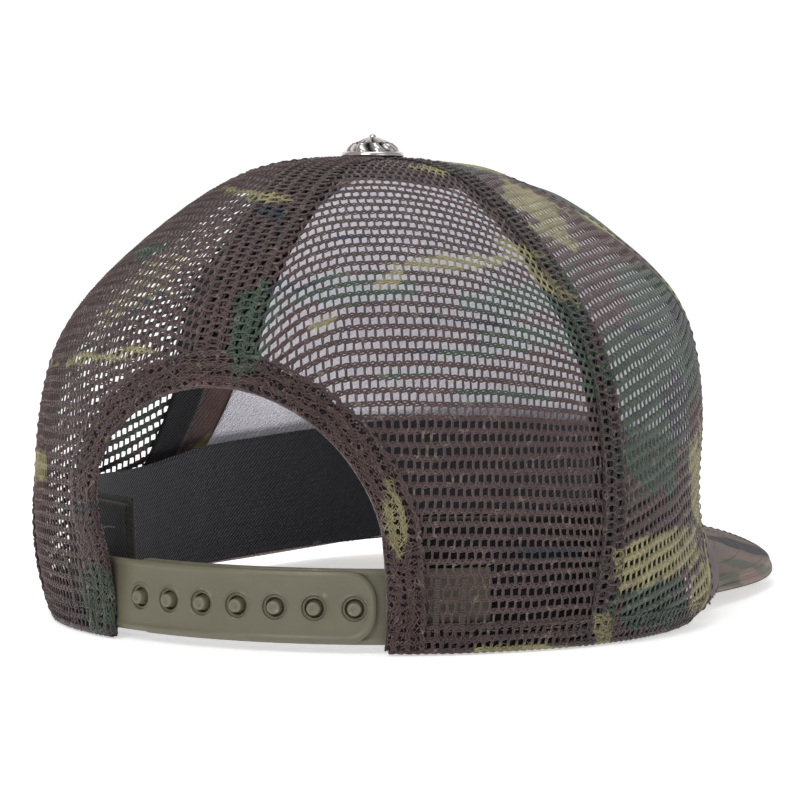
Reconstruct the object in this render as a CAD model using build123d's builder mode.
"""Snapback cap: panelled crown, sweatband, snap straps, stiff visor and top button.

Millimetres and degrees. The rim plane is z = 0 and the rim centre is the origin. The visor
points to -Y, the adjuster opening faces +Y, and the wearer's right is -X. Angles round the
crown start at the rear centre and grow towards the wearer's right.
"""
from build123d import *
import os
import math
import numpy as np

os.makedirs("parts", exist_ok=True)

# ---------------------------------------------------------------- crown dimensions
HALF_WIDTH = 86.5          # at the rim
REAR_RADIUS = 86.5         # rim centre to the rear of the crown
FRONT_RADIUS = 104.0       # rim centre to the front of the crown
CROWN_HEIGHT = 123.6       # rim plane to the top of the crown
APEX_SHIFT = 0.7           # apex stands this far behind the rim centre
RISE_START = 97.0          # angle where the rim starts to rise towards the visor
RISE_SPAN = 22.0           # angle it takes to meet the visor
RIM_UNDER = 2.6            # the front rim ends this far below the visor's top surface

# radial factors of the crown section at these height fractions; the rim is 1 and the apex 0
LEVELS = np.array([0.0, 0.18, 0.38, 0.58, 0.76, 0.89, 0.965, 1.0])
REAR_FACTORS = [1.031, 1.142, 1.108, 0.955, 0.722, 0.520]
SIDE_FACTORS = [1.062, 1.018, 0.957, 0.757, 0.547, 0.375]
FRONT_FACTORS = [0.985, 1.0, 1.0125, 0.972, 0.781, 0.459]
RADIAL_WEIGHT = 0.75       # weight of radial steps when spacing the knots of a section

# local swelling (+) and dimple (-) of the wall over the ends of the visor
DIMPLE_LEVELS = np.array([0.0, 0.04, 0.12, 0.2, 0.38, 0.58, 0.76, 0.89, 1.0])
DIMPLE = np.array([-0.005, 0.035, -0.005, -0.042, -0.006, 0.014, 0.028, 0.010, 0.0])
DIMPLE_ANGLE = 113.0
DIMPLE_SPREAD = 22.0

PANEL_T = 1.0
SIDE_SEAM = 63.0           # angle of the rear/side seam
FRONT_SEAM = 98.0          # angle of the side/front seam
SEAM_GAP = 0.15            # half of the gap between neighbouring panels
PANEL_TOP_R = 4.5          # panel sheets reach in to this radius before the hole is cut
TOP_HOLE_R = 6.0           # hole left round the button shank
LOW_ROW = -0.022           # sheets start at this row, below the rim, and are cut level
CUT_SIZE = 400.0           # larger than the whole cap
CUT_DEPTH = 12.0
OPENING_CUT = 160.0        # from the centre out past the rear wall

ARCH_HALF_BASE = 38.2      # adjuster opening: half width at the rim
ARCH_HALF = 40.0           # half width where the round top starts
ARCH_SPRING = 30.0         # height where the round top starts
ARCH_TOP = 67.0            # height of the opening
ARCH_FOOT = -8.0           # the cutting outline runs down to here
HEM_W = 8.5                # width of the folded hem round the opening
HEM_PROUD = 0.8            # how far the hem stands out of the panels
HEM_GAP = 0.2              # between the hem and the panels
HEM_ANGLE = 46.0           # the untrimmed hem sheet reaches this far each side
HEM_SHEET_TOP = 84.0       # and this high

TAPE_OFF = 1.4             # tapes lie this far in from the outer surface
TAPE_T = 0.5
REAR_TAPE_W = 20.0
SEAM_TAPE_W = 12.0
TAPE_FOOT = 0.8            # height of the lower end of the side and front tapes
REAR_TAPE_RISE = 1.5       # the rear tape starts this far above the opening
TAPE_PATCH_GAP = 2.0       # tapes stop this far outside the backing patch
FRONT_TAPE_PATCH_GAP = 5.0
PATCH_R = 17.0             # round backing patch under the button

LINING_GAP = 0.4           # between the front lining and the tapes beside it
LINING_INSET = 0.25        # lining lies this much deeper than the tapes
LINING_FOOT_ROW = 0.008
LINING_TOP_R = 9.0
LINING_PATCH_GAP = 1.0
LINING_CUT_DEPTH = 25.0

# ---------------------------------------------------------------- sweatband dimensions
BAND_H = 35.0
BAND_OFF = 3.0             # sweatband pad lies this far in
BAND_BUMP = 5.4            # extra inset over the sewn strap ends
BUMP_END = 68.0            # angle where the extra inset dies out
BUMP_SPAN = 24.0           # angle over which it fades
BAND_END = 27.8            # angle of the band ends either side of the rear centre
PAD_T = 1.2
PAD_FOOT = 1.2             # height of the pad above the rim
PAD_TOP_DROP = 1.5         # pad ends this far below the band's top
BAND_T = 0.8
BAND_FOOT = 0.6
BAND_PAD_GAP = 0.25

# ---------------------------------------------------------------- strap dimensions
STRAP_T = 1.4
OUTER_R = 84.9             # outer radius of the strap with holes
INNER_R = 83.3             # outer radius of the strap with pegs
STRAP_Z = 2.3              # lower edge of the outer strap
STRAP_H = 18.2
INNER_EXTRA = 0.5          # the inner strap is taller by this at each edge
INNER_Z = STRAP_Z - INNER_EXTRA
INNER_H = STRAP_H + 2 * INNER_EXTRA
HINGE_ANGLE = 25.5         # the straps flex at this angle either side of the rear centre
HINGE_GAP = 0.25           # half the gap at the flex line, degrees
FREE_ANGLE = 24.8          # the free ends stop here
INNER_FREE_SHORT = 0.3     # the inner free end stops this many degrees sooner
SEWN_ANGLE = 40.0          # the sewn ends reach this far under the crown
INNER_SEWN_EXTRA = 5.0     # and the inner one this many degrees further
TIP_FILLET = 7.5
PEG_COUNT = 7
PEG_PITCH = 6.9            # degrees between pegs
PEG_CENTRE = 0.35          # angle of the middle peg, towards the wearer's right
PEG_Z = STRAP_Z + STRAP_H / 2 - 0.3
PEG_R = 1.875
PEG_TIP_R = 1.6
PEG_L = 2.8
PEG_SUNK = 0.5             # pegs start this deep in the strap
HOLE_R = 3.1
HOLE_CUT = 4.0             # hole cutters reach this far either side of OUTER_R
RIM_R = 3.75
RIM_H = 0.35
RIM_SUNK = 0.4             # hole rims start this deep in the strap
PEG_ANGLES = [PEG_CENTRE + PEG_PITCH * (i - PEG_COUNT // 2) for i in range(PEG_COUNT)]

TACK_ANGLES = (34.6, 39.0)
TACK_W = 1.0
TACK_FOOT = 6.2
TACK_TOP = 19.0
TACK_PROUD = 0.4
TACK_T = 0.3

# ---------------------------------------------------------------- visor dimensions
VISOR_Z = 15.6             # visor top surface height at the front centre of the crown
VISOR_R = 326.0            # radius of its side to side curve
VISOR_SLOPE = 0.027        # fall per mm going forward
VISOR_HALF = 80.2
VISOR_BACK = 64.8          # the outline is widest this far in front of the rim centre
VISOR_LEN = 106.0          # from there to the tip
VISOR_EXP = 2.8            # exponent of the superellipse outline
VISOR_PLAN_BACK = -32.0    # y where the plan is closed, inside the crown
WALL_PLAN_BACK = 20.0      # y where the crown section cut from the plan is closed
COVER_T = 0.6
BOARD_T = 1.6
LAYER_GAP = 0.1
COVER_WALL_GAP = 0.45      # between the covers and the crown wall
BOARD_WALL_GAP = 1.2
BOARD_INSET = 1.3          # board edge inside the cover edge

VISOR_STITCH_FIRST = 3.0   # inset of the outermost row of stitching
VISOR_STITCH_PITCH = 7.0
VISOR_STITCH_ROWS = 6
VISOR_STITCH_W = 0.5
VISOR_STITCH_TOP = 0.3     # height of the stitching above the cover
VISOR_STITCH_T = 0.22
VISOR_STITCH_WALL_GAP = 1.0

# ---------------------------------------------------------------- button dimensions
BUTTON_R = 8.5
BUTTON_H = 6.5
BUTTON_Z = CROWN_HEIGHT + 0.2
BASE_T = 1.2
BASE_HOLE_R = 2.0
CAP_RISE = 1.3             # foot of the cap above the foot of the base
CAP_R = 6.8
CORE_RISE = 1.5            # the inner dome, seen in the grooves of the cap
CORE_R = 5.9
CORE_DROP = 1.0            # the inner dome is lower than the cap by this
CORE_TURN = 11.25
GROOVE_COUNT = 8
GROOVE_START = 22.5
GROOVE_RADIUS = 5.2
GROOVE_L = 6.4
GROOVE_W = 0.8
GROOVE_RISE = 1.8
PATCH_TOP = CROWN_HEIGHT - TAPE_OFF - 0.15
PATCH_T = 0.5
RIVET_HEAD_R = 6.5
RIVET_SHANK_R = 1.7
RIVET_HEAD_FOOT = PATCH_TOP - 2.0
RIVET_HEAD_TOP = PATCH_TOP - 1.1


# ---------------------------------------------------------------- cubic splines
def fit_spline(knots, values, flat_end=False):
    """Cubic spline as (knots, values, second derivatives).

    Both ends are not-a-knot; with flat_end the start is natural and the end slope is zero."""
    count = len(knots)
    gaps = np.diff(knots)
    slopes = np.diff(values) / gaps
    matrix = np.zeros((count, count))
    target = np.zeros(count)
    for i in range(1, count - 1):
        matrix[i, i - 1:i + 2] = gaps[i - 1], 2 * (gaps[i - 1] + gaps[i]), gaps[i]
        target[i] = 6 * (slopes[i] - slopes[i - 1])
    if flat_end:
        matrix[0, 0] = 1
        matrix[-1, -2:] = 1, 2
        target[-1] = -6 / gaps[-1] * slopes[-1]
    else:
        matrix[0, :3] = gaps[1], -(gaps[0] + gaps[1]), gaps[0]
        matrix[-1, -3:] = gaps[-1], -(gaps[-2] + gaps[-1]), gaps[-2]
    return knots, values, np.linalg.solve(matrix, target)


def spline_at(curve, place):
    """Value of a fitted spline at place, which may be an array."""
    knots, values, bends = curve
    i = np.clip(np.searchsorted(knots, place) - 1, 0, len(knots) - 2)
    gap = knots[i + 1] - knots[i]
    before, after = knots[i + 1] - place, place - knots[i]
    cubic = (bends[i] * before ** 3 + bends[i + 1] * after ** 3) / (6 * gap)
    return (cubic + (values[i] / gap - bends[i] * gap / 6) * before
            + (values[i + 1] / gap - bends[i + 1] * gap / 6) * after)


def fit_section(factors):
    """Splines of radial factor and height fraction along one crown section."""
    radial = np.concatenate([[1.0], factors, [0.0]])
    steps = np.hypot(np.diff(radial) * RADIAL_WEIGHT, np.diff(LEVELS))
    rows = np.concatenate([[0], np.cumsum(steps)])
    rows = rows / rows[-1]
    return fit_spline(rows, radial), fit_spline(rows, LEVELS, flat_end=True)


SECTIONS = [fit_section(factors) for factors in (REAR_FACTORS, SIDE_FACTORS, FRONT_FACTORS)]
DIMPLE_CURVE = fit_spline(DIMPLE_LEVELS, DIMPLE)


# ---------------------------------------------------------------- crown surface
# A point of the crown has a turn (its angle in radians) and a row (0 rim, 1 apex).
def smoothstep(fraction):
    clipped = np.clip(fraction, 0, 1)
    return clipped * clipped * (3 - 2 * clipped)


def from_rear(turn):
    """Unsigned turn from the rear centre, 0 to pi."""
    return np.abs((turn + np.pi) % (2 * np.pi) - np.pi)


def visor_z(x, y):
    """Height of the visor's top surface."""
    return VISOR_Z - x * x / (2 * VISOR_R) - VISOR_SLOPE * (-y - FRONT_RADIUS)


def crown_point(turn, row):
    """Point of the outer crown surface; either argument may be an array."""
    turn, row = np.broadcast_arrays(np.asarray(turn, float), np.asarray(row, float))
    cosine = np.cos(turn)
    weights = [
        np.where(cosine > 0, cosine * cosine, 0),
        np.sin(turn) ** 2,
        np.where(cosine < 0, cosine * cosine, 0),
    ]
    factor = sum(k * spline_at(radial, row) for k, (radial, _) in zip(weights, SECTIONS))
    level = sum(k * spline_at(height, row) for k, (_, height) in zip(weights, SECTIONS))
    away = from_rear(turn)
    spread = (away - math.radians(DIMPLE_ANGLE)) / math.radians(DIMPLE_SPREAD)
    factor = factor + np.exp(-spread ** 2) * spline_at(DIMPLE_CURVE, level)
    # the front rim follows the underside of the visor
    rim_x = -HALF_WIDTH * np.sin(turn)
    rim_y = np.where(cosine > 0, REAR_RADIUS, FRONT_RADIUS) * cosine
    rise = smoothstep((np.degrees(away) - RISE_START) / RISE_SPAN)
    rim_z = rise * (visor_z(rim_x, rim_y) - RIM_UNDER)
    return np.stack([
        rim_x * factor,
        rim_y * factor + APEX_SHIFT * level ** 2,
        rim_z * (1 - level) + CROWN_HEIGHT * level,
    ], -1)


def inset_point(turn, row, inset):
    """Crown point moved inwards along the normal; a negative inset moves it outwards."""
    step = 1e-4
    turn, row = np.asarray(turn), np.asarray(row)
    along = crown_point(turn + step, row) - crown_point(turn - step, row)
    upward = crown_point(turn, row + step) - crown_point(turn, row - step)
    outward = np.cross(along, upward)
    outward = outward / np.linalg.norm(outward, axis=-1, keepdims=True)
    return crown_point(turn, row) - outward * inset


HEIGHT_ROWS = np.linspace(-0.03, 1.0, 400)
TOP_ROWS = np.linspace(0.5, 1.0, 300)


def row_at_height(turn, height):
    """Row whose point stands at this height above the rim plane."""
    return float(np.interp(height, crown_point(turn, HEIGHT_ROWS)[:, 2], HEIGHT_ROWS))


def row_at_radius(turn, radius):
    """Row near the top whose point stands this far from the button axis."""
    points = crown_point(turn, TOP_ROWS)
    radii = np.hypot(points[:, 0], points[:, 1] - APEX_SHIFT)
    return float(np.interp(-radius, -radii, TOP_ROWS))


def seam_line(angle, distance):
    """Angle, as a function of row, of a line at a distance in mm beside a seam."""
    def angle_at(row):
        point = crown_point(math.radians(angle), row)
        radius = float(math.hypot(point[0], point[1] - APEX_SHIFT * 0.5))
        return angle + math.degrees(distance / max(radius, 5.0))
    return angle_at


def face_from(points):
    return Face.make_surface_from_array_of_points(
        [[Vector(*map(float, point)) for point in line] for line in points], tol=0.02)


def crown_sheet(start, end, foot, top, inset, columns, rows):
    """Crown patch between two lines, given as angle functions of row.

    foot is the lowest row; top gives the highest row as a function of turn."""
    lines = []
    for i in range(columns):
        share = i / (columns - 1)
        top_row = top(math.radians(start(0.0) + (end(0.0) - start(0.0)) * share))
        # rows are crowded towards the foot
        line_rows = foot + (top_row - foot) * np.linspace(0, 1, rows) ** 1.6
        turns = np.radians([start(q) + (end(q) - start(q)) * share for q in line_rows])
        lines.append(inset_point(turns, line_rows, inset))
    return face_from(lines)


def seam_strip(angle, width, foot, top, inset, rows):
    """Narrow sheet centred on the seam at an angle, between two rows."""
    return crown_sheet(seam_line(angle, -width / 2), seam_line(angle, width / 2),
                       foot, lambda turn: top, inset, 3, rows)


def thicken_inward(face, thickness):
    """Thicken a crown sheet towards the inside, within the active part."""
    centre = face.center()
    outward = Vector(centre.X, centre.Y, (centre.Z - 20) * 1.5)
    faces_out = face.normal_at(centre).dot(outward) > 0
    thicken(face, amount=-thickness if faces_out else thickness)


# ---------------------------------------------------------------- shared outlines
# These helpers are called inside a sketch and add a face to it.
def add_ribbon(side_a, side_b):
    """Face between two splines that run the same way, with straight ends."""
    side_a = [tuple(map(float, point)) for point in side_a]
    side_b = [tuple(map(float, point)) for point in side_b]
    with BuildLine() as outline:
        Spline(*side_a)
        Line(side_a[-1], side_b[-1])
        Spline(*side_b[::-1])
        Line(side_b[0], side_a[0])
    make_face(outline.edges())


# seen from the rear: sketch x runs to -X and sketch y runs up
REAR_PLANE = Plane(origin=(0, 0, 0), x_dir=(-1, 0, 0), z_dir=(0, 1, 0))


def add_arch(extra):
    """Outline of the adjuster opening, grown by extra."""
    half, half_base = ARCH_HALF + extra, ARCH_HALF_BASE + extra
    with BuildLine() as outline:
        EllipticalCenterArc((0, ARCH_SPRING), half, ARCH_TOP - ARCH_SPRING + extra,
                            start_angle=0, arc_size=180)
        Line((-half, ARCH_SPRING), (-half_base, ARCH_FOOT))
        Line((-half_base, ARCH_FOOT), (half_base, ARCH_FOOT))
        Line((half_base, ARCH_FOOT), (half, ARCH_SPRING))
    make_face(outline.edges())


# ---------------------------------------------------------------- crown pieces
def make_panel(start_seam, end_seam, foot, columns, at_opening):
    """Crown panel between two seams; its foot is cut level with the rim plane."""
    face = crown_sheet(seam_line(start_seam, SEAM_GAP), seam_line(end_seam, -SEAM_GAP),
                       foot, lambda turn: row_at_radius(turn, PANEL_TOP_R), 0.0, columns, 18)
    with BuildPart() as panel:
        thicken_inward(face, PANEL_T)
        with BuildSketch(Plane.XY.offset(-CUT_DEPTH)):
            Rectangle(CUT_SIZE, CUT_SIZE)
        extrude(amount=CUT_DEPTH, mode=Mode.SUBTRACT)
        with BuildSketch(Plane.XY.offset(CROWN_HEIGHT - CUT_DEPTH)):
            with Locations((0, APEX_SHIFT)):
                Circle(TOP_HOLE_R)
        extrude(amount=30, mode=Mode.SUBTRACT)
        if at_opening:
            with BuildSketch(REAR_PLANE):
                add_arch(HEM_W + HEM_GAP)
            extrude(amount=OPENING_CUT, mode=Mode.SUBTRACT)
    return panel


def make_front_lining():
    """Lining behind the front panel, between the two front seam tapes."""
    margin = SEAM_TAPE_W / 2 + LINING_GAP
    face = crown_sheet(seam_line(FRONT_SEAM, margin), seam_line(360 - FRONT_SEAM, -margin),
                       LINING_FOOT_ROW, lambda turn: row_at_radius(turn, LINING_TOP_R),
                       TAPE_OFF + LINING_INSET, 28, 17)
    with BuildPart() as lining:
        thicken_inward(face, TAPE_T)
        with BuildSketch(Plane.XY.offset(CROWN_HEIGHT - LINING_CUT_DEPTH)):
            with Locations((0, APEX_SHIFT)):
                Circle(PATCH_R + LINING_PATCH_GAP)
        extrude(amount=30, mode=Mode.SUBTRACT)
    return lining


def make_opening_hem():
    """Folded hem round the adjuster opening."""
    face = crown_sheet(lambda row: -HEM_ANGLE, lambda row: HEM_ANGLE, LOW_ROW,
                       lambda turn: row_at_height(turn, HEM_SHEET_TOP), -HEM_PROUD, 18, 9)
    with BuildPart() as hem:
        thicken_inward(face, HEM_PROUD + PANEL_T)
        with BuildSketch(REAR_PLANE):
            add_arch(HEM_W)
        extrude(amount=OPENING_CUT, mode=Mode.INTERSECT)
        with BuildSketch(REAR_PLANE):
            add_arch(0)
        extrude(amount=OPENING_CUT, mode=Mode.SUBTRACT)
        with BuildSketch(Plane.XY.offset(-CUT_DEPTH)):
            Rectangle(CUT_SIZE, CUT_SIZE)
        extrude(amount=CUT_DEPTH, mode=Mode.SUBTRACT)
    return hem


def make_tape(angle, width, foot_height, patch_gap):
    """Tape over a seam, inside the crown."""
    turn = math.radians(angle)
    face = seam_strip(angle, width, row_at_height(turn, foot_height),
                      row_at_radius(turn, PATCH_R + patch_gap), TAPE_OFF, 18)
    with BuildPart() as tape:
        thicken_inward(face, TAPE_T)
    return tape


def make_tacks(side):
    """Upright bar tacks that sew a strap end to the crown; side is 1 right, -1 left."""
    with BuildPart() as tacks:
        for tack_angle in TACK_ANGLES:
            angle = tack_angle * side
            turn = math.radians(angle)
            face = seam_strip(angle, TACK_W, row_at_height(turn, TACK_FOOT),
                              row_at_height(turn, TACK_TOP), -TACK_PROUD, 8)
            thicken_inward(face, TACK_T)
    return tacks


# ---------------------------------------------------------------- sweatband and its pad
def band_stations():
    """Plan points of the band curve, from right to left round the front, and rim heights."""
    points, rim_heights = [], []
    for turn in np.radians(np.linspace(BAND_END, 360 - BAND_END, 49)):
        away = math.degrees(from_rear(turn))
        inset = BAND_OFF + BAND_BUMP * smoothstep((BUMP_END - away) / BUMP_SPAN)
        rim_z = float(crown_point(turn, 0.0)[2])
        wall = [inset_point(turn, row_at_height(turn, rim_z + height), inset)
                for height in np.linspace(0.3, BAND_H, 9)]
        # an upright band has to clear the narrowest height of the wall
        points.append(min(((float(p[0]), float(p[1])) for p in wall),
                          key=lambda point: math.hypot(*point)))
        rim_heights.append(rim_z)
    return np.array(points), rim_heights


def make_band(start, thick, low, high, trim):
    """Upright band between two heights above the rim, open across the adjuster opening.

    start is measured inwards from the band curve; trim drops stations at each end."""
    base, rim_heights = band_stations()
    for _ in range(3):
        base[1:-1] = 0.25 * base[:-2] + 0.5 * base[1:-1] + 0.25 * base[2:]
    step = np.gradient(base, axis=0)
    inward = np.stack([-step[:, 1], step[:, 0]], 1)
    inward = inward / np.linalg.norm(inward, axis=1, keepdims=True)
    kept = slice(trim, len(base) - trim)
    outer = (base + inward * start)[kept]
    inner = (base + inward * (start + thick))[kept]
    rim_heights = rim_heights[kept]

    # side view (y, z) of the rim line from rear to front, run past the band at both ends
    half = [(float(outer[i][1]), rim_heights[i]) for i in range(len(outer) // 2 + 1)]
    foot = [(120.0, half[0][1])]
    foot += [(y, z) for y, z in half if z > 0.02 or y < 0]
    foot += [(half[-1][0] - 6.0, half[-1][1])]
    lower = [(y, z + low) for y, z in foot]
    upper = [(y, z + high) for y, z in foot]
    with BuildPart() as band:
        with BuildSketch(Plane.XY):
            add_ribbon(outer, inner)
        extrude(amount=70)
        with BuildSketch(Plane.YZ.offset(-130)):
            with BuildLine():
                Polyline(*(lower + upper[::-1]), close=True)
            make_face()
        extrude(amount=260, mode=Mode.INTERSECT)
    return band


# ---------------------------------------------------------------- snap straps
def polar(radius, angle):
    """Plan point at a radius and an angle from the rear centre."""
    return (-radius * math.sin(math.radians(angle)), radius * math.cos(math.radians(angle)))


def add_strap_sector(outer_r, start, end):
    """Ring sector between two angles, one strap thickness wide."""
    inner_r = outer_r - STRAP_T
    middle = (start + end) / 2
    with BuildLine() as outline:
        ThreePointArc(polar(outer_r, start), polar(outer_r, middle), polar(outer_r, end))
        Line(polar(outer_r, end), polar(inner_r, end))
        ThreePointArc(polar(inner_r, end), polar(inner_r, middle), polar(inner_r, start))
        Line(polar(inner_r, start), polar(outer_r, start))
    make_face(outline.edges())


def radial_plane(angle, radius):
    """Plane at peg height that faces outwards."""
    x, y = polar(1.0, angle)
    return Plane(origin=(x * radius, y * radius, PEG_Z), x_dir=(y, -x, 0), z_dir=(x, y, 0))


def tip_edges(strap, side):
    """Short level edges at the strap's free end; side is 1 right, -1 left."""
    return strap.edges().filter_by(
        lambda edge: edge.length < STRAP_T + 0.1
        and -side * edge.center().X > 20
        and abs(edge.tangent_at(0.5).Z) < 0.1)


def make_outer_strap():
    """Strap with rimmed holes; its free end is on the right."""
    with BuildPart() as strap:
        with BuildSketch(Plane.XY.offset(STRAP_Z)):
            add_strap_sector(OUTER_R, -(HINGE_ANGLE - HINGE_GAP), FREE_ANGLE)
        extrude(amount=STRAP_H)
        fillet(tip_edges(strap, 1), radius=TIP_FILLET)
        for angle in PEG_ANGLES:
            with BuildSketch(radial_plane(angle, OUTER_R - RIM_SUNK)):
                Circle(RIM_R)
            extrude(amount=RIM_SUNK + RIM_H)
        for angle in PEG_ANGLES:
            with BuildSketch(radial_plane(angle, OUTER_R - HOLE_CUT)):
                Circle(HOLE_R)
            extrude(amount=2 * HOLE_CUT, mode=Mode.SUBTRACT)
    return strap


def make_inner_strap():
    """Strap with tapered pegs; its free end is on the left."""
    with BuildPart() as strap:
        with BuildSketch(Plane.XY.offset(INNER_Z)):
            add_strap_sector(INNER_R, -FREE_ANGLE + INNER_FREE_SHORT, HINGE_ANGLE - HINGE_GAP)
        extrude(amount=INNER_H)
        fillet(tip_edges(strap, -1), radius=TIP_FILLET)
        for angle in PEG_ANGLES:
            with BuildSketch(radial_plane(angle, INNER_R - PEG_SUNK)):
                Circle(PEG_R)
            with BuildSketch(radial_plane(angle, INNER_R + PEG_L)):
                Circle(PEG_TIP_R)
            loft()
    return strap


def make_strap_end(radius, start, end, foot, height):
    """Sewn end of a strap, beyond its flex line."""
    with BuildPart() as strap_end:
        with BuildSketch(Plane.XY.offset(foot)):
            add_strap_sector(radius, start, end)
        extrude(amount=height)
    return strap_end


# ---------------------------------------------------------------- visor
def rim_points(inset):
    """Outer edge of the visor in plan, from its right end round the tip to its left end."""
    points = []
    power = 2 / VISOR_EXP
    for angle in np.linspace(-math.pi / 2, math.pi / 2, 33):
        sine, cosine = math.sin(angle), math.cos(angle)
        points.append(((VISOR_HALF - inset) * math.copysign(abs(sine) ** power, sine),
                       -VISOR_BACK - (VISOR_LEN - inset) * abs(cosine) ** power))
    return points


def wall_point(turn, gap, rise):
    """Plan point, a gap outside the wall, where it meets the visor surface raised by rise."""
    z = 12.0
    for _ in range(12):
        point = inset_point(turn, max(row_at_height(turn, z), 0.0), -gap)
        z = 0.5 * z + 0.5 * (visor_z(point[0], point[1]) + rise)
    return float(point[0]), float(point[1])


def add_crown_section(gap, mode):
    """Plan of the crown at visor height, grown by gap and closed behind the visor."""
    # at each turn the widest point through the visor's thickness counts
    root = [max((wall_point(turn, gap, rise) for rise in (0.2, -1.6, -3.2)),
                key=lambda point: math.hypot(*point))
            for turn in np.radians(np.linspace(96, 264, 33))]
    start_corner = (root[0][0], WALL_PLAN_BACK)
    end_corner = (root[-1][0], WALL_PLAN_BACK)
    with BuildLine() as wall:
        Spline(*root)
        Line(root[-1], end_corner)
        Line(end_corner, start_corner)
        Line(start_corner, root[0])
    make_face(wall.edges(), mode=mode)


def add_visor_plan(inset, gap):
    """Outer edge of the visor less the crown section."""
    rim = rim_points(inset)
    half = VISOR_HALF - inset
    with BuildLine() as outline:
        Spline(*rim)
        Line(rim[-1], (half, VISOR_PLAN_BACK))
        Line((half, VISOR_PLAN_BACK), (-half, VISOR_PLAN_BACK))
        Line((-half, VISOR_PLAN_BACK), rim[0])
    make_face(outline.edges())
    add_crown_section(gap, Mode.SUBTRACT)


def thicken_visor_sheet(rise, thickness):
    """Oversized curved slab in the active part; its top is raised by rise over the visor."""
    face = face_from([[(x, y, visor_z(x, y) + rise) for y in (-20.0, -75.0, -130.0, -190.0)]
                      for x in np.linspace(-100, 100, 9)])
    faces_up = face.normal_at(face.center()).Z > 0
    thicken(face, amount=-thickness if faces_up else thickness)


def make_visor_layer(rise, thickness, inset, gap):
    with BuildPart() as layer:
        thicken_visor_sheet(rise, thickness)
        with BuildSketch(Plane.XY.offset(-20)):
            add_visor_plan(inset, gap)
        extrude(amount=60, mode=Mode.INTERSECT)
    return layer


def make_visor_stitching():
    """Rows of stitching that follow the edge of the visor, over the top cover."""
    with BuildPart() as stitching:
        thicken_visor_sheet(VISOR_STITCH_TOP, VISOR_STITCH_T)
        with BuildSketch(Plane.XY.offset(-20)):
            for i in range(VISOR_STITCH_ROWS):
                inset = VISOR_STITCH_FIRST + VISOR_STITCH_PITCH * i
                add_ribbon(rim_points(inset), rim_points(inset + VISOR_STITCH_W))
        extrude(amount=60, mode=Mode.INTERSECT)
        with BuildSketch(Plane.XY.offset(-20)):
            add_crown_section(VISOR_STITCH_WALL_GAP, Mode.ADD)
        extrude(amount=60, mode=Mode.SUBTRACT)
    return stitching


# ---------------------------------------------------------------- button
BUTTON_AXIS = Axis((0, APEX_SHIFT, 0), (0, 0, 1))


def axis_plane(turned=0.0):
    """Upright plane through the button axis; sketch x is the radius and y the height."""
    cosine, sine = math.cos(math.radians(turned)), math.sin(math.radians(turned))
    return Plane(origin=(0, APEX_SHIFT, 0), x_dir=(cosine, sine, 0), z_dir=(sine, -cosine, 0))


def make_button_base():
    """Flat disc with a rounded raised lip."""
    base_top = BUTTON_Z + BASE_T
    lip_foot = (BUTTON_R - 0.6, BUTTON_Z)
    lip_crest = (BUTTON_R - 0.7, BUTTON_Z + 1.8)
    lip_inside = (BUTTON_R - 1.5, base_top)
    with BuildPart() as base:
        with BuildSketch(axis_plane()):
            with BuildLine():
                Line((BASE_HOLE_R, BUTTON_Z), lip_foot)
                ThreePointArc(lip_foot, (BUTTON_R, BUTTON_Z + 0.9), lip_crest)
                ThreePointArc(lip_crest, (BUTTON_R - 1.2, BUTTON_Z + 1.7), lip_inside)
                Line(lip_inside, (BASE_HOLE_R, base_top))
                Line((BASE_HOLE_R, base_top), (BASE_HOLE_R, BUTTON_Z))
            make_face()
        revolve(axis=BUTTON_AXIS)
    return base


def add_dome(radius, height, foot):
    """Half section of a dome, added to the active sketch."""
    with BuildLine() as outline:
        Line((0, foot), (radius, foot))
        Spline((radius, foot), (radius * 0.86, foot + height * 0.42),
               (radius * 0.5, foot + height * 0.82), (0, foot + height))
        Line((0, foot + height), (0, foot))
    make_face(outline.edges())


def make_button_cap():
    """Dome cut by a ring of grooves, with a smaller dome filling their depths."""
    cap_height = BUTTON_H - CAP_RISE
    with BuildPart() as cap:
        with BuildSketch(axis_plane()):
            add_dome(CAP_R, cap_height, BUTTON_Z + CAP_RISE)
        revolve(axis=BUTTON_AXIS)
        with BuildSketch(Plane.XY.offset(BUTTON_Z + GROOVE_RISE)):
            with Locations((0, APEX_SHIFT)):
                with PolarLocations(GROOVE_RADIUS, GROOVE_COUNT, start_angle=GROOVE_START):
                    SlotOverall(GROOVE_L, GROOVE_W)
        extrude(amount=8, mode=Mode.SUBTRACT)
        with BuildSketch(axis_plane(CORE_TURN)):
            add_dome(CORE_R, cap_height - CORE_DROP, BUTTON_Z + CORE_RISE)
        revolve(axis=BUTTON_AXIS)
    return cap


def make_backing_patch():
    """Thin domed washer under the top of the crown."""
    upper = [(2.4, PATCH_TOP), (8.0, PATCH_TOP - 0.32), (PATCH_R, PATCH_TOP - 1.45)]
    lower = [(radius, z - PATCH_T) for radius, z in upper]
    with BuildPart() as patch:
        with BuildSketch(axis_plane()):
            add_ribbon(upper, lower)
        revolve(axis=BUTTON_AXIS)
    return patch


def make_rivet():
    """Rivet with its head under the patch and its shank up into the button."""
    shank_top = BUTTON_Z + BASE_T
    with BuildPart() as rivet:
        with BuildSketch(axis_plane()):
            with BuildLine():
                Polyline((0, RIVET_HEAD_FOOT), (RIVET_HEAD_R, RIVET_HEAD_FOOT),
                         (RIVET_HEAD_R, RIVET_HEAD_TOP), (RIVET_SHANK_R, RIVET_HEAD_TOP),
                         (RIVET_SHANK_R, shank_top), (0, shank_top), (0, RIVET_HEAD_FOOT))
            make_face()
        revolve(axis=BUTTON_AXIS)
    return rivet


# ---------------------------------------------------------------- build and export
def save(name, builder):
    builder.part.label = name
    export_step(builder.part, f"parts/{name}.step")


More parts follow.
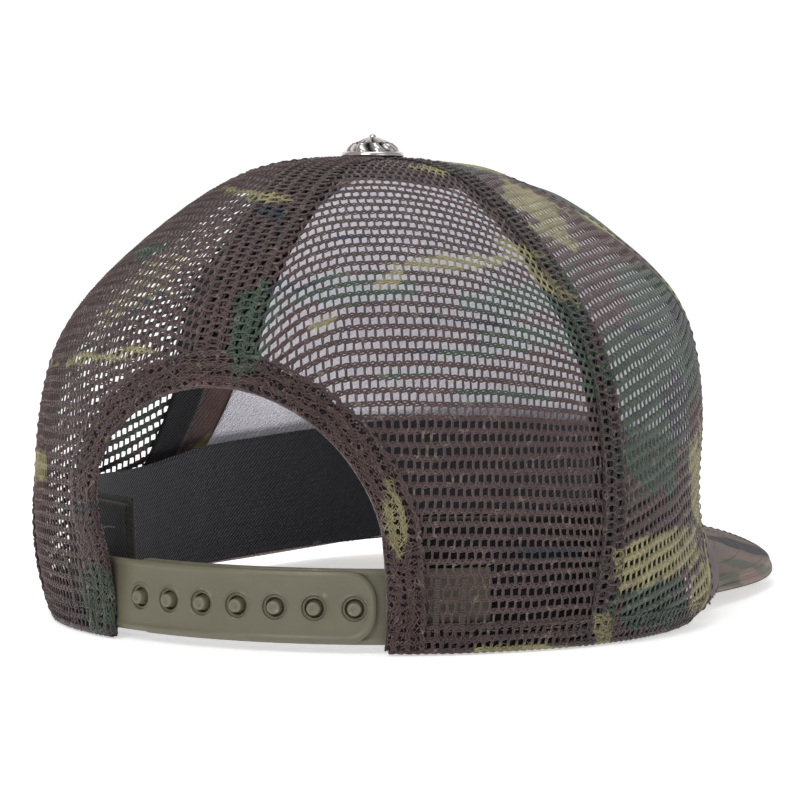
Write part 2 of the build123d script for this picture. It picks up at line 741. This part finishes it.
# name, start seam, end seam, lowest row, columns, whether it borders the opening
PANELS = [
    ("rear_panel_right", 0, SIDE_SEAM, LOW_ROW, 12, True),
    ("rear_panel_left", -SIDE_SEAM, 0, LOW_ROW, 12, True),
    ("side_panel_right", SIDE_SEAM, FRONT_SEAM, LOW_ROW, 8, False),
    ("side_panel_left", -FRONT_SEAM, -SIDE_SEAM, LOW_ROW, 8, False),
    ("front_panel", FRONT_SEAM, 360 - FRONT_SEAM, 0.0, 30, False),
]
for panel_name, *panel_values in PANELS:
    save(panel_name, make_panel(*panel_values))
save("front_lining", make_front_lining())
save("opening_hem", make_opening_hem())

save("seam_tape_rear",
     make_tape(0, REAR_TAPE_W, ARCH_TOP + REAR_TAPE_RISE, TAPE_PATCH_GAP))
for side_name, side in (("right", 1), ("left", -1)):
    save(f"seam_tape_side_{side_name}",
         make_tape(side * SIDE_SEAM, SEAM_TAPE_W, TAPE_FOOT, TAPE_PATCH_GAP))
    save(f"seam_tape_front_{side_name}",
         make_tape(side * FRONT_SEAM, SEAM_TAPE_W, TAPE_FOOT, FRONT_TAPE_PATCH_GAP))
    save(f"strap_tacks_{side_name}", make_tacks(side))

save("sweatband_padding", make_band(0.0, PAD_T, PAD_FOOT, BAND_H - PAD_TOP_DROP, trim=1))
save("sweatband", make_band(PAD_T + BAND_PAD_GAP, BAND_T, BAND_FOOT, BAND_H, trim=0))

save("snap_strap_outer", make_outer_strap())
save("snap_strap_outer_end",
     make_strap_end(OUTER_R, -SEWN_ANGLE, -(HINGE_ANGLE + HINGE_GAP), STRAP_Z, STRAP_H))
save("snap_strap_inner", make_inner_strap())
save("snap_strap_inner_end",
     make_strap_end(INNER_R, HINGE_ANGLE + HINGE_GAP, SEWN_ANGLE + INNER_SEWN_EXTRA,
                    INNER_Z, INNER_H))

BOARD_TOP = -COVER_T - LAYER_GAP
UNDER_COVER_TOP = BOARD_TOP - BOARD_T - LAYER_GAP
save("visor_top_cover", make_visor_layer(0.0, COVER_T, 0.0, COVER_WALL_GAP))
save("visor_board", make_visor_layer(BOARD_TOP, BOARD_T, BOARD_INSET, BOARD_WALL_GAP))
save("visor_under_cover", make_visor_layer(UNDER_COVER_TOP, COVER_T, 0.0, COVER_WALL_GAP))
save("visor_stitching", make_visor_stitching())

save("button_base", make_button_base())
save("button_cap", make_button_cap())
save("button_backing_patch", make_backing_patch())
save("button_rivet", make_rivet())
